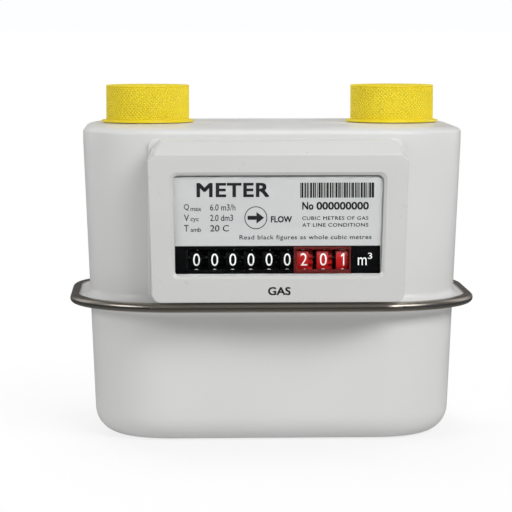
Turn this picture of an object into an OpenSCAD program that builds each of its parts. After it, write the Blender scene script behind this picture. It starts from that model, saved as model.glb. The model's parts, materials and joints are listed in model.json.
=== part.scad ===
// Domestic diaphragm gas meter with two top connections and a front index.
// Millimetres, +Z up, +X to the right of someone who reads the index, front towards -Y.
// The origin is on the flat bottom of the case, under the middle of the line between the two pipes.

/* [Case] */
// Width of the case at its widest level, near the top.
case_top_width = 199.5; // [198:0.5:201]
// Depth of the case at its widest level.
case_top_depth = 136; // [134:0.5:137]
// Width of the case just above the flat bottom.
case_bottom_width = 186.5; // [185:0.5:189]
// Depth of the case just above the flat bottom.
case_bottom_depth = 125.6; // [124:0.2:128]
// Radius of the four upright corners, seen from above.
case_corner_r = 40; // [38:1:42]
// Height of the flat lands that the two spigots stand on.
case_top_z = 162; // [161:0.5:163]
// Height of the joint between the two case halves.
seam_z = 71; // [70.5:0.5:72]
// Thickness of the drawn steel sheet.
sheet_t = 1.5; // [1.2:0.1:1.5]
// Radius between the walls and the flat bottom.
bottom_edge_r = 14; // [12:1:15]

/* [Clamp band] */
// Overall width of the band that clamps the two halves.
band_width = 212; // [211.5:0.5:213]
// Overall depth of the band.
band_depth = 156; // [154:0.5:157]
// Height of the band.
band_h = 4.7; // [4.5:0.1:5]
// Thickness of the band's metal.
band_t = 0.7; // [0.6:0.1:0.8]
// How far the band's lips reach in over the two flanges.
band_lip = 4.2; // [3.5:0.1:4.5]

/* [Pipe connections] */
// Distance between the two pipe axes.
pipe_spacing = 130; // [129:0.5:131]
// Major diameter of the G 1 1/4 pipe thread.
thread_d = 41.91; // [41.8:0.01:41.91]
// Free bore through each spigot.
port_bore_d = 28; // [26:0.5:28]
// Height of the spigots above the lands.
spigot_h = 18; // [17:0.5:18]
// Outer diameter of the protective caps.
cap_d = 44.8; // [44.6:0.1:46]
// Height of the caps, rim included.
cap_h = 19.7; // [19.7:0.1:22]
// Diameter of the thin rim round each cap's foot.
cap_rim_d = 49; // [47:0.5:49.5]

/* [Index box] */
// Distance of the bezel's face in front of the pipe axes.
bezel_face = 98; // [97.5:0.1:98.5]
// Width of the index box over its side walls.
box_width = 126.6; // [126:0.2:127]
// Width of the bezel at its widest level, near the top.
bezel_width = 132.8; // [130:0.2:134]
// Wall thickness of the box.
box_wall = 2.2; // [1.8:0.1:2.4]
// Clear height of the window opening.
window_h = 53; // [52:0.5:54]
// Clear width of the window opening at its top.
window_top_width = 108.2; // [107:0.2:109]
// Clear width of the window opening at its bottom.
window_bottom_width = 105.5; // [105:0.1:107]

/* [Counter] */
// Radius of the number drums.
drum_r = 12.5; // [12.3:0.1:12.6]
// Width of each drum's numbered rim.
drum_w = 5.7; // [5.4:0.1:5.7]
// Height of the drum axle above the case bottom.
drum_axle_z = 97.3; // [97:0.1:97.6]
// Spacing of the six whole cubic metre drums.
black_pitch = 9.04; // [9:0.01:9.06]
// Spacing of the three decimal drums.
red_pitch = 9.7; // [9.66:0.01:9.72]

/* [Measuring unit] */
// Width of the chamber body.
chamber_w = 148; // [146:1:150]
// Level of the chamber body's top.
chamber_top = 103; // [102.8:0.1:103]
// Half of each diaphragm's stroke.
half_stroke = 14; // [13:0.5:14]
// Throw of the crank pin.
crank_throw = 12.5; // [12:0.1:12.5]

/* [Hidden] */
$fn = 96;
tiny = 0.02;
run_fit = 0.04;

// Case levels and how far the wall steps in at each, for the rounded top edge.
widest_z = 154.5;
flange_t = 1.2;
gasket_t = band_h - 2 * band_t - 2 * flange_t;
flange_w = band_width - 2 * band_t - 0.6;
flange_d = band_depth - 2 * band_t - 0.6;
flange_r = case_corner_r + 8.5;
taper_w = (case_top_width - case_bottom_width) / (widest_z - bottom_edge_r);
taper_d = (case_top_depth - case_bottom_depth) / (widest_z - bottom_edge_r);
land_r = 25.2;
port_x = pipe_spacing / 2;

// Index box planes, as distances in front of the pipe axes.
pad_face = 68.6;
box_front = 92.5;
plate_face = bezel_face - 2.4;
plate_t = 1;
glass_face = bezel_face - 1;
glass_t = 0.9;
box_bottom = 76.2;
box_top = 156.2;
window_mid = 114.5;
rebate_w = 114;
rebate_h = 59;

// Counter: the drum axle, the drums' places along it and the gears.
drum_y = -(plate_face - plate_t - 0.4 - drum_r);
first_black_x = -41.1;
first_red_x = 12.4;
drum_count = 9;
black_count = 6;
mesh_gap = 14;
pinion_angle = 65;
pinion_y = drum_y + mesh_gap * cos(pinion_angle);
pinion_z = drum_axle_z + mesh_gap * sin(pinion_angle);
axle_r = 1.5;
pinion_axle_r = 1;
ring_w = 2.2;
pinion_w = 1.8;
crown_teeth = 20;
crown_r = 10;
index_x = 40;
shaft_z = 124;
shaft_r = 2;

// Movement: crank, flag rods and arms, seen from above.
crank_y = -22;
crank_shaft_r = 2;
rod_x = -40;
rod_y = 19;
rod_r = 1.6;
wing_l = 40;
arm_l = 36;
swing = asin(half_stroke / wing_l);
front_reach = norm([index_x - rod_x, crank_y + rod_y]);
rear_reach = norm([index_x - rod_x, crank_y - rod_y]);
front_arm_angle = atan2(crank_y + rod_y, index_x - rod_x) - acos(arm_l / front_reach);
rear_arm_angle = atan2(crank_y - rod_y, index_x - rod_x) + acos(arm_l / rear_reach) + swing;
front_arm_end = [rod_x + arm_l * cos(front_arm_angle), -rod_y + arm_l * sin(front_arm_angle)];
rear_arm_end = [rod_x + arm_l * cos(rear_arm_angle), rod_y + arm_l * sin(rear_arm_angle)];
front_pull = atan2(crank_y - front_arm_end[1], index_x - front_arm_end[0]);
crank_rest = front_pull + 90;
crank_pin = [index_x + crank_throw * cos(crank_rest), crank_y + crank_throw * sin(crank_rest)];
seat_t = 4;
seat_top = chamber_top + seat_t;
wheel_foot = 5 + 3 - crank_y;
valve_r = 16;
valve_h = 5;
web_z = 136;
pin_top = 140.4;
link_t = 1.6;
front_link_z = 141;
rear_link_z = 144.6;
arm_t = 1.6;

// Chambers: one round-cornered recess on each side of a middle wall.
mid_wall = 3;
diaphragm_y = 35.6;
disc_t = 1.2;
chamber_d = 108;
chamber_r = 12;
cover_t = 3;
foot_h = 5;
cell_w = 134;
cell_h = 86;
cell_r = 26;
cell_z = foot_h + 3.5 + cell_h / 2;
disc_w = 112;
disc_h = 62;
disc_r = 16;

function drum_x(i) = i <= black_count
    ? first_black_x + (i - 1) * black_pitch
    : first_red_x + (i - 1 - black_count) * red_pitch;

// ---- flat shapes ----

module round_plate(w, d, r) {
    square([w - 2 * r, d], center = true);
    square([w, d - 2 * r], center = true);
    for (x = [-1, 1]) {
        for (y = [-1, 1]) {
            translate([x * (w / 2 - r), y * (d / 2 - r)])
                circle(r = r);
        }
    }
}

// A spur gear of module 1 with a tooth on +X, or a gap there when turned by half a tooth.
module gear_shape(teeth) {
    pitch_r = teeth / 2;
    circle(r = pitch_r - 1.2);
    for (i = [0:teeth - 1]) {
        rotate(i * 360 / teeth)
            polygon([
                [pitch_r - 1.5, -0.85],
                [pitch_r - 0.4, -0.72],
                [pitch_r + 0.8, -0.3],
                [pitch_r + 0.8, 0.3],
                [pitch_r - 0.4, 0.72],
                [pitch_r - 1.5, 0.85]
            ]);
    }
}

// Turns flat artwork drawn in X and Z so that it stands at depth y and grows t towards the front.
module stand(y, t) {
    translate([0, y, 0])
        rotate([90, 0, 0])
            linear_extrude(height = t)
                children();
}

// A crown wheel on the Z axis: a disc with upright teeth whose pitch plane is pitch_z above its foot.
module crown(disc_t, pitch_z, bore_r) {
    difference() {
        union() {
            cylinder(r = crown_r + 1.5, h = disc_t);
            for (i = [0:crown_teeth - 1]) {
                rotate(i * 360 / crown_teeth)
                    translate([crown_r - 1.5, 0, 0])
                        rotate([90, 0, 90])
                            linear_extrude(height = 3)
                                polygon([
                                    [-0.75, disc_t - 0.4],
                                    [0.75, disc_t - 0.4],
                                    [0.28, pitch_z + 0.7],
                                    [-0.28, pitch_z + 0.7]
                                ]);
            }
        }
        if (bore_r > 0) {
            translate([0, 0, -1])
                cylinder(r = bore_r, h = disc_t + 2);
        }
    }
}

// ---- case ----

module case_slab(z, inset, wall) {
    w = case_top_width - (widest_z - min(z, widest_z)) * taper_w - 2 * inset - 2 * wall;
    d = case_top_depth - (widest_z - min(z, widest_z)) * taper_d - 2 * inset - 2 * wall;
    translate([0, 0, z - wall])
        linear_extrude(height = 0.1)
            round_plate(w, d, max(case_corner_r - inset - wall, 4), $fn = 32);
}

module upper_form(low_z, wall) {
    hull() {
        case_slab(low_z + wall, 0, wall);
        case_slab(widest_z, 0, wall);
        case_slab(widest_z + 3, 0.8, wall);
        case_slab(widest_z + 5, 2.6, wall);
        case_slab(widest_z + 6.2, 6, wall);
        case_slab(case_top_z - 0.5, 16, wall);
        case_slab(case_top_z - 0.1, 32, wall);
    }
}

module lower_slab(z, inset, wall) {
    w = case_bottom_width + (z - bottom_edge_r) * taper_w - 2 * inset - 2 * wall;
    d = case_bottom_depth + (z - bottom_edge_r) * taper_d - 2 * inset - 2 * wall;
    translate([0, 0, z])
        linear_extrude(height = 0.1)
            round_plate(w, d, max(case_corner_r - inset - wall, 4), $fn = 32);
}

module lower_form(top_z, wall) {
    hull() {
        for (a = [0, 22.5, 45, 67.5, 90]) {
            lower_slab(wall + (bottom_edge_r - wall) * (1 - cos(a)),
                (bottom_edge_r - wall) * (1 - sin(a)), wall);
        }
        lower_slab(top_z - 0.1, 0, wall);
    }
}

module flange() {
    linear_extrude(height = flange_t)
        round_plate(flange_w, flange_d, flange_r);
}

module lower_case() color([0.85, 0.86, 0.88]) {
    difference() {
        union() {
            lower_form(seam_z - gasket_t / 2, 0);
            translate([0, 0, seam_z - gasket_t / 2 - flange_t])
                flange();
        }
        lower_form(seam_z + 5, sheet_t);
    }
}

module upper_case() color([0.85, 0.86, 0.88]) {
    difference() {
        union() {
            upper_form(seam_z + gasket_t / 2, 0);
            translate([0, 0, seam_z + gasket_t / 2])
                flange();
            for (side = [-1, 1]) {
                translate([side * port_x, 0, case_top_z - 3])
                    cylinder(r = land_r, h = 3);
            }
            stand(-60, pad_face - 60)
                translate([0, 116])
                    round_plate(135, 84, 5);
        }
        difference() {
            upper_form(seam_z - 5, sheet_t);
            for (side = [-1, 1]) {
                translate([side * port_x, 0, case_top_z - 3])
                    cylinder(r = land_r, h = 3);
            }
        }
        for (side = [-1, 1]) {
            translate([side * port_x, 0, case_top_z - 10])
                cylinder(r = 20, h = 20);
        }
        translate([index_x, -50, shaft_z])
            rotate([90, 0, 0])
                cylinder(r = 5, h = 30);
    }
}

module case_gasket() color([0.15, 0.15, 0.15]) {
    translate([0, 0, seam_z - gasket_t / 2])
        linear_extrude(height = gasket_t)
            difference() {
                round_plate(flange_w, flange_d, flange_r);
                round_plate(case_top_width - 7, case_top_depth - 5, case_corner_r);
            }
}

module clamp_band() color([0.45, 0.43, 0.42]) {
    translate([0, 0, seam_z - band_h / 2])
        difference() {
            linear_extrude(height = band_h)
                round_plate(band_width, band_depth, case_corner_r + 10);
            translate([0, 0, -1])
                linear_extrude(height = band_h + 2)
                    round_plate(band_width - 2 * band_lip - 2 * band_t,
                        band_depth - 2 * band_lip - 2 * band_t, case_corner_r + 4.5);
            translate([0, 0, band_t])
                linear_extrude(height = band_h - 2 * band_t)
                    round_plate(flange_w + 0.04, flange_d + 0.04, flange_r);
        }
}

// ---- pipe connections ----

// Ridges of a parallel pipe thread, drawn as rings.
module thread_outline() {
    pitch = 2.309;
    crest = thread_d / 2;
    root = crest - 1.479;
    turns = 7;
    low = case_top_z + 0.4;
    polygon(concat(
        [[port_bore_d / 2, case_top_z], [root, case_top_z]],
        [for (i = [0:turns - 1]) each [
            [root, low + i * pitch],
            [crest, low + i * pitch + 0.95],
            [crest, low + i * pitch + 1.25],
            [root, low + i * pitch + 2.2]
        ]],
        [[root - 0.5, case_top_z + spigot_h], [port_bore_d / 2, case_top_z + spigot_h]]
    ));
}

module spigot() {
    rotate_extrude() {
        thread_outline();
        translate([port_bore_d / 2, case_top_z - 3])
            square([20 - tiny - port_bore_d / 2, 3]);
        translate([port_bore_d / 2, case_top_z - 5.4])
            square([23.5 - port_bore_d / 2, 2.4]);
        translate([port_bore_d / 2, case_top_z - 10])
            square([2, 4.6]);
    }
}

module inlet_spigot() color([0.72, 0.73, 0.74]) {
    translate([-port_x, 0, 0])
        spigot();
}

module outlet_spigot() color([0.72, 0.73, 0.74]) {
    translate([port_x, 0, 0])
        spigot();
}

module cap() {
    inner_r = thread_d / 2 + 0.3;
    translate([0, 0, case_top_z + 0.3])
        rotate_extrude()
            polygon([
                [inner_r, 0],
                [cap_rim_d / 2, 0],
                [cap_rim_d / 2, 1],
                [cap_rim_d / 2 - 0.3, 1.3],
                [cap_d / 2, 1.3],
                [cap_d / 2, cap_h - 1.8],
                [cap_d / 2 - 0.6, cap_h - 0.5],
                [cap_d / 2 - 1.8, cap_h],
                [0, cap_h],
                [0, spigot_h + 0.1],
                [inner_r, spigot_h + 0.1]
            ]);
}

module inlet_cap() color([0.9, 0.82, 0.12]) {
    translate([-port_x, 0, 0])
        cap();
}

module outlet_cap() color([0.9, 0.82, 0.12]) {
    translate([port_x, 0, 0])
        cap();
}

// ---- index box ----

module box_outline(inset) {
    half = box_width / 2 - inset;
    low = box_bottom + inset;
    high = box_top - inset;
    bevel = 5 - inset * 0.4;
    r = 4.5 - inset * 0.6;
    polygon([
        [-half, low + r],
        [-half + r, low],
        [half - r, low],
        [half, low + r],
        [half, high - bevel],
        [half - bevel, high],
        [-half + bevel, high],
        [-half, high - bevel]
    ]);
    for (side = [-1, 1]) {
        translate([side * (half - r), low + r])
            circle(r = r);
    }
}

module index_housing() color([0.86, 0.87, 0.88]) {
    screw_z = [88, 146];
    difference() {
        union() {
            difference() {
                stand(-pad_face, box_front - pad_face)
                    box_outline(0);
                stand(-pad_face + 1, box_front - pad_face + 2)
                    box_outline(box_wall);
            }
            for (side = [-1, 1]) {
                for (z = screw_z) {
                    translate([side * (box_width / 2 - 6.2), 0, z])
                        rotate([90, 0, 0])
                            translate([0, 0, pad_face])
                                cylinder(r = 5, h = 3);
                }
            }
        }
        for (side = [-1, 1]) {
            for (z = screw_z) {
                translate([side * (box_width / 2 - 6.2), 0, z])
                    rotate([90, 0, 0])
                        cylinder(r = 2.2, h = 90);
            }
        }
    }
}

module index_screws() color([0.7, 0.71, 0.73]) {
    for (side = [-1, 1]) {
        for (z = [88, 146]) {
            translate([side * (box_width / 2 - 6.2), 0, z])
                rotate([90, 0, 0])
                    translate([0, 0, pad_face])
                        difference() {
                            union() {
                                cylinder(r = 1.9, h = 3);
                                translate([0, 0, 3])
                                    cylinder(r = 3.5, h = 2.2);
                            }
                            translate([0, 0, 5.2])
                                cube([4.6, 0.8, 1.6], center = true);
                            translate([0, 0, 5.2])
                                cube([0.8, 4.6, 1.6], center = true);
                        }
        }
    }
}

module bezel_front_outline() {
    top_half = bezel_width / 2;
    low_half = box_width / 2 - 0.1;
    r = 4.5;
    polygon([
        [-low_half, box_bottom + r],
        [-low_half + r, box_bottom],
        [low_half - r, box_bottom],
        [low_half, box_bottom + r],
        [top_half, 147],
        [top_half - 3.4, 150],
        [-top_half + 3.4, 150],
        [-top_half, 147]
    ]);
    for (side = [-1, 1]) {
        translate([side * (low_half - r), box_bottom + r])
            circle(r = r, $fn = 32);
    }
}

module window_outline(grow) {
    top_half = window_top_width / 2 + grow;
    low_half = window_bottom_width / 2 + grow;
    half_h = window_h / 2 + grow;
    r = 2.8;
    for (side = [-1, 1]) {
        translate([side * (low_half - r), window_mid - half_h + r])
            circle(r = r, $fn = 32);
        translate([side * (top_half - r), window_mid + half_h - r])
            circle(r = r, $fn = 32);
    }
    polygon([
        [-low_half + r, window_mid - half_h],
        [low_half - r, window_mid - half_h],
        [low_half, window_mid - half_h + r],
        [top_half, window_mid + half_h - r],
        [top_half - r, window_mid + half_h],
        [-top_half + r, window_mid + half_h],
        [-top_half, window_mid + half_h - r],
        [-low_half, window_mid - half_h + r]
    ]);
}

module index_bezel() color([0.87, 0.88, 0.89]) {
    difference() {
        hull() {
            stand(-bezel_face + 0.1, 0.1)
                bezel_front_outline();
            stand(-box_front - 1.5, 0.1)
                bezel_front_outline();
            stand(-box_front, 0.1)
                box_outline(0, $fn = 32);
        }
        stand(-bezel_face + 3, 4)
            window_outline(0);
        stand(-box_front + 1, glass_face - box_front + 1)
            translate([0, window_mid])
                round_plate(rebate_w + 0.2, rebate_h + 0.2, 3.1);
    }
}

module index_window() color([0.8, 0.9, 0.95, 0.4]) {
    stand(-glass_face + glass_t, glass_t)
        translate([0, window_mid])
            round_plate(rebate_w, rebate_h, 3);
}

module window_gasket() color([0.2, 0.2, 0.2]) {
    stand(-plate_face, glass_face - glass_t - plate_face)
        translate([0, window_mid])
            difference() {
                round_plate(rebate_w, rebate_h, 3);
                round_plate(window_top_width + 1.6, window_h + 1.6, 3);
            }
}

band_left = -51.4;
band_right = 50.9;
band_low = 90.4;
band_high = 104.4;
slot_low = 92.5;
slot_high = 102.5;

module dial_plate() color([0.93, 0.94, 0.94]) {
    stand(-plate_face + plate_t, plate_t)
        difference() {
            translate([0, window_mid])
                round_plate(rebate_w, rebate_h, 3);
            translate([band_left, band_low])
                square([band_right - band_left, band_high - band_low]);
        }
}

module counter_mask() color([0.07, 0.07, 0.08]) {
    stand(-plate_face + plate_t, plate_t)
        difference() {
            translate([band_left + tiny, band_low + tiny])
                square([band_right - band_left - 2 * tiny, band_high - band_low - 2 * tiny]);
            translate([drum_x(1) - 4, slot_low])
                square([drum_x(black_count) - drum_x(1) + 7.2, slot_high - slot_low]);
            translate([drum_x(black_count + 1) - 3.1, slot_low])
                square([drum_x(drum_count) - drum_x(black_count + 1) + 6.4, slot_high - slot_low]);
        }
}

module decimal_frame() color([0.75, 0.08, 0.08]) {
    stand(-plate_face, 0.25)
        difference() {
            translate([first_red_x - 4.7, 90.5])
                square([28.5, 13.4]);
            translate([first_red_x - 3.1, slot_low])
                square([drum_x(drum_count) - first_red_x + 6.4, slot_high - slot_low]);
        }
}

// ---- counter ----

module counter_frame() color([0.3, 0.31, 0.33]) {
    left = -49.6;
    right = 52.8;
    side_t = 1.6;
    floor_z = box_bottom + box_wall;
    low_y = drum_y - 9;
    back_y = -74.2;
    difference() {
        union() {
            translate([left, low_y, floor_z])
                cube([right + side_t - left, back_y - low_y, 3.4]);
            translate([left, low_y, floor_z])
                cube([side_t, back_y - low_y, 36]);
            translate([right, low_y, floor_z])
                cube([side_t, back_y - low_y, 131 - floor_z]);
            translate([index_x - 4.5, drum_y - 4, 110.6])
                cube([right + 0.1 - index_x + 4.5, 8.2, 2.2]);
            translate([index_x - 4.5, drum_y - 4, 127.6])
                cube([right + 0.1 - index_x + 4.5, 8, 2.2]);
        }
        translate([left - 1, drum_y, drum_axle_z])
            rotate([0, 90, 0])
                cylinder(r = axle_r, h = 120);
        translate([left - 1, pinion_y, pinion_z])
            rotate([0, 90, 0])
                cylinder(r = pinion_axle_r, h = 120);
        translate([index_x, drum_y, 100])
            cylinder(r = axle_r + run_fit, h = 40);
    }
}

module drum_axle() color([0.75, 0.76, 0.78]) {
    translate([-51, drum_y, drum_axle_z])
        rotate([0, 90, 0])
            cylinder(r = axle_r, h = 106.8);
}

module pinion_axle() color([0.75, 0.76, 0.78]) {
    translate([-50.6, pinion_y, pinion_z])
        rotate([0, 90, 0])
            cylinder(r = pinion_axle_r, h = 106);
}

// A drum drawn along Z from its left face, with the twenty-tooth ring on its right.
module drum_blank() {
    difference() {
        cylinder(r = drum_r, h = drum_w);
        translate([0, 0, -1])
            difference() {
                cylinder(r = drum_r - 1.3, h = drum_w - 0.6);
                cylinder(r = 4, h = drum_w);
            }
        translate([0, 0, -1])
            cylinder(r = axle_r + run_fit, h = drum_w + 2);
    }
}

module number_drum(i) {
    translate([drum_x(i) - drum_w / 2, drum_y, drum_axle_z])
        rotate([0, 90, 0]) {
            drum_blank();
            if (i < drum_count) {
                translate([0, 0, drum_w - tiny])
                    rotate(90 + pinion_angle)
                        difference() {
                            linear_extrude(height = ring_w)
                                gear_shape(20);
                            translate([0, 0, -1])
                                cylinder(r = 7.2, h = ring_w + 2);
                        }
            }
            if (i < drum_count) {
                translate([0, 0, drum_w - tiny])
                    difference() {
                        cylinder(r = 7.3, h = 0.8);
                        translate([0, 0, -1])
                            cylinder(r = axle_r + run_fit, h = 3);
                    }
            }
            if (i == drum_count) {
                translate([0, 0, drum_w - tiny])
                    crown(0.25, index_x - drum_x(i) - drum_w / 2 - 4, axle_r + run_fit);
            }
        }
}

module black_drum(i) color([0.06, 0.06, 0.07]) number_drum(i);

module red_drum(i) color([0.72, 0.06, 0.07]) number_drum(i);

module number_drum_1() black_drum(1);
module number_drum_2() black_drum(2);
module number_drum_3() black_drum(3);
module number_drum_4() black_drum(4);
module number_drum_5() black_drum(5);
module number_drum_6() black_drum(6);
module number_drum_7() red_drum(7);
module number_drum_8() red_drum(8);
module number_drum_9() red_drum(9);

module transfer_pinion(i) color([0.9, 0.9, 0.88]) {
    gap_left = drum_x(i) + drum_w / 2;
    gap_right = drum_x(i + 1) - drum_w / 2;
    mid = min(gap_left + 1.3, (gap_left + gap_right) / 2);
    translate([mid - pinion_w / 2, pinion_y, pinion_z])
        rotate([0, 90, 0])
            rotate(pinion_angle - 90 + 22.5)
                difference() {
                    linear_extrude(height = pinion_w)
                        gear_shape(8);
                    translate([0, 0, -1])
                        cylinder(r = pinion_axle_r + run_fit, h = pinion_w + 2);
                }
}

module transfer_pinion_1() transfer_pinion(1);
module transfer_pinion_2() transfer_pinion(2);
module transfer_pinion_3() transfer_pinion(3);
module transfer_pinion_4() transfer_pinion(4);
module transfer_pinion_5() transfer_pinion(5);
module transfer_pinion_6() transfer_pinion(6);
module transfer_pinion_7() transfer_pinion(7);
module transfer_pinion_8() transfer_pinion(8);

module index_layshaft() color([0.9, 0.9, 0.88]) {
    translate([index_x, drum_y, 0]) {
        translate([0, 0, 105.5])
            cylinder(r = axle_r, h = 25);
        translate([0, 0, 105.5])
            rotate(22.5)
                linear_extrude(height = 3.6)
                    gear_shape(8);
        translate([0, 0, 113.2])
            cylinder(r = 3, h = 3);
        translate([0, 0, 115.9])
            rotate(90)
                crown(1.8, shaft_z - 5 - 115.9, 0);
    }
}

module index_drive_shaft() color([0.78, 0.79, 0.8]) {
    translate([index_x, 0, shaft_z])
        rotate([90, 0, 0]) {
            translate([0, 0, wheel_foot - 1.8])
                cylinder(r = shaft_r, h = 73.2 - wheel_foot + 1.8);
            translate([0, 0, 70.2])
                rotate(90 + 18)
                    linear_extrude(height = 3)
                        gear_shape(10);
            translate([0, 0, wheel_foot])
                mirror([0, 0, 1])
                    rotate(90)
                        crown(1.8, 3, 0);
        }
}

module shaft_bushing() color([0.82, 0.68, 0.35]) {
    translate([index_x, 0, shaft_z])
        rotate([90, 0, 0])
            difference() {
                union() {
                    translate([0, 0, 58])
                        cylinder(r = 4.98, h = 11.6);
                    translate([0, 0, pad_face])
                        cylinder(r = 7, h = 1.2);
                    translate([0, 0, 59.5])
                        cylinder(r = 8, h = 65.1 - 59.5, $fn = 6);
                }
                translate([0, 0, 50])
                    cylinder(r = shaft_r + run_fit, h = 30);
            }
}

// ---- measuring unit ----

module cell_shape(w, h, r) {
    translate([0, cell_z])
        round_plate(w, h, r);
}

module chamber_block() {
    translate([0, 0, foot_h])
        linear_extrude(height = chamber_top - foot_h)
            round_plate(chamber_w, chamber_d, chamber_r);
}

module chamber_body() color([0.2, 0.32, 0.45]) {
    half = chamber_d / 2 - cover_t;
    difference() {
        union() {
            intersection() {
                chamber_block();
                translate([-chamber_w / 2, -half, foot_h])
                    cube([chamber_w, 2 * half, chamber_top - foot_h]);
            }
            for (x = [-1, 1]) {
                for (y = [-1, 1]) {
                    translate([x * (chamber_w / 2 - 14), y * (half - 14), sheet_t])
                        cylinder(r = 6, h = foot_h - sheet_t + 1);
                }
            }
        }
        stand(half + 1, half + 1 - mid_wall / 2)
            cell_shape(cell_w, cell_h, cell_r);
        stand(-mid_wall / 2, half)
            cell_shape(cell_w, cell_h, cell_r);
        for (side = [-1, 1]) {
            translate([rod_x, side * rod_y, foot_h + 1])
                cylinder(r = rod_r + run_fit, h = chamber_top);
        }
        // rear inner and rear outer ducts, front inner port, front outer duct, outlet duct
        translate([index_x - 3, crank_y + 9, chamber_top - 5])
            cube([6, 25, 6]);
        translate([index_x - 3, 6, chamber_top - 20])
            cube([6, 6, 21]);
        translate([index_x - 14, crank_y - 3, chamber_top - 5])
            cube([5, 71, 6]);
        translate([index_x - 14, 41, chamber_top - 20])
            cube([5, 5, 21]);
        translate([index_x + 9, crank_y - 3, chamber_top - 20])
            cube([5, 6, 21]);
        translate([index_x - 3, -46, chamber_top - 5])
            cube([6, 46 + crank_y - 9, 6]);
        translate([index_x - 3, -46, chamber_top - 20])
            cube([6, 5, 21]);
        translate([index_x, crank_y, chamber_top - 5])
            cylinder(r = 6.5, h = 6);
        translate([index_x, crank_y, chamber_top - 5])
            rotate(atan2(-crank_y, port_x - index_x))
                translate([0, -3, 0])
                    cube([norm([port_x - index_x, crank_y]), 6, 6]);
        translate([port_x, 0, chamber_top - 5])
            cylinder(r = 11.5, h = 6);
    }
}

module chamber_cover(side) {
    half = chamber_d / 2 - cover_t;
    difference() {
        intersection() {
            chamber_block();
            translate([-chamber_w / 2, side > 0 ? half : -half - cover_t, foot_h])
                cube([chamber_w, cover_t, chamber_top - foot_h]);
        }
        for (x = [-1, 1]) {
            for (z = [foot_h + 5, chamber_top - 5]) {
                translate([x * (cell_w / 2 - 10), 0, z])
                    rotate([-90 * side, 0, 0])
                        cylinder(r = 1.7, h = 90);
            }
        }
    }
}

module front_chamber_cover() color([0.25, 0.38, 0.52]) chamber_cover(-1);
module rear_chamber_cover() color([0.25, 0.38, 0.52]) chamber_cover(1);

module chamber_screws() color([0.75, 0.76, 0.78]) {
    half = chamber_d / 2 - cover_t;
    for (side = [-1, 1]) {
        for (x = [-1, 1]) {
            for (z = [foot_h + 5, chamber_top - 5]) {
                translate([x * (cell_w / 2 - 10), 0, z])
                    rotate([-90 * side, 0, 0]) {
                        translate([0, 0, half])
                            cylinder(r = 1.5, h = cover_t);
                        translate([0, 0, half + cover_t])
                            cylinder(r = 2.8, h = 1.6);
                    }
            }
        }
    }
}

// A rubber ring pinched in the chamber wall, with one soft fold towards the disc.
module diaphragm() {
    rotate([90, 0, 0])
        translate([0, 0, -0.5])
            difference() {
                linear_extrude(height = 1)
                    cell_shape(cell_w - tiny, cell_h - tiny, cell_r);
                translate([0, 0, -1])
                    linear_extrude(height = 3)
                        cell_shape(disc_w + 1, disc_h + 1, disc_r + 0.5);
            }
}

module front_diaphragm() color([0.25, 0.22, 0.2]) {
    translate([0, -diaphragm_y, 0])
        diaphragm();
}

module rear_diaphragm() color([0.25, 0.22, 0.2]) {
    translate([0, diaphragm_y, 0])
        diaphragm();
}

// Disc with an upright slot that takes the flag's pin, drawn for the rear chamber at mid stroke.
module disc_with_yoke() {
    slot_half = 1.9;
    stand(diaphragm_y + disc_t / 2, disc_t)
        cell_shape(disc_w, disc_h, disc_r);
    for (side = [-1, 1]) {
        translate([-6, rod_y + side * (slot_half + 0.6) - 0.6, cell_z - 12])
            cube([14, 1.2, 6]);
    }
    for (z = [cell_z - 13.2, cell_z - 7.2]) {
        translate([-6, rod_y - slot_half - 1.2, z])
            cube([2, diaphragm_y - rod_y + slot_half + 1, 2]);
        translate([6, rod_y - slot_half - 1.2, z])
            cube([2, diaphragm_y - rod_y + slot_half + 1, 2]);
    }
}

module front_diaphragm_disc() color([0.7, 0.71, 0.72]) {
    mirror([0, 1, 0])
        disc_with_yoke();
}

module rear_diaphragm_disc() color([0.7, 0.71, 0.72]) {
    translate([0, half_stroke, 0])
        disc_with_yoke();
}

// Upright rod with the flag that reaches to the disc, drawn at the origin along +X.
module flag_rod(top_z) {
    translate([0, 0, foot_h + 1.3])
        cylinder(r = rod_r, h = top_z - foot_h - 1.3);
    translate([0, -0.7, cell_z - 20])
        cube([wing_l, 1.4, 6]);
    translate([0, -0.7, cell_z - 20])
        cube([20, 1.4, 30]);
    translate([wing_l, 0, cell_z - 20])
        cylinder(r = 1.2, h = 15);
}

module front_flag_rod() color([0.78, 0.79, 0.8]) {
    translate([rod_x, -rod_y, 0])
        flag_rod(front_link_z + link_t + 1.4);
}

module rear_flag_rod() color([0.78, 0.79, 0.8]) {
    translate([rod_x, rod_y, 0])
        rotate(swing)
            flag_rod(rear_link_z + link_t + 1.4);
}

// A flat arm clamped on the rod, with a rivet for the link at its end.
module flag_arm(z) {
    difference() {
        union() {
            translate([0, 0, z - 3])
                cylinder(r = 4.4, h = 4.2);
            translate([0, -2.5, z - arm_t - 0.4])
                cube([arm_l, 5, arm_t]);
            translate([arm_l, 0, z - arm_t - 0.4])
                cylinder(r = 3.6, h = arm_t);
            translate([arm_l, 0, z - arm_t])
                cylinder(r = 1.5, h = arm_t + link_t + 0.7);
            translate([arm_l, 0, z + link_t + 0.4])
                cylinder(r = 2.4, h = 0.6);
        }
        translate([0, 0, z - 5])
            cylinder(r = rod_r, h = 10);
    }
}

module front_flag_arm() color([0.8, 0.81, 0.82]) {
    translate([rod_x, -rod_y, 0])
        rotate(front_arm_angle)
            flag_arm(front_link_z);
}

module rear_flag_arm() color([0.8, 0.81, 0.82]) {
    translate([rod_x, rod_y, 0])
        rotate(rear_arm_angle)
            flag_arm(rear_link_z);
}

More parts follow.
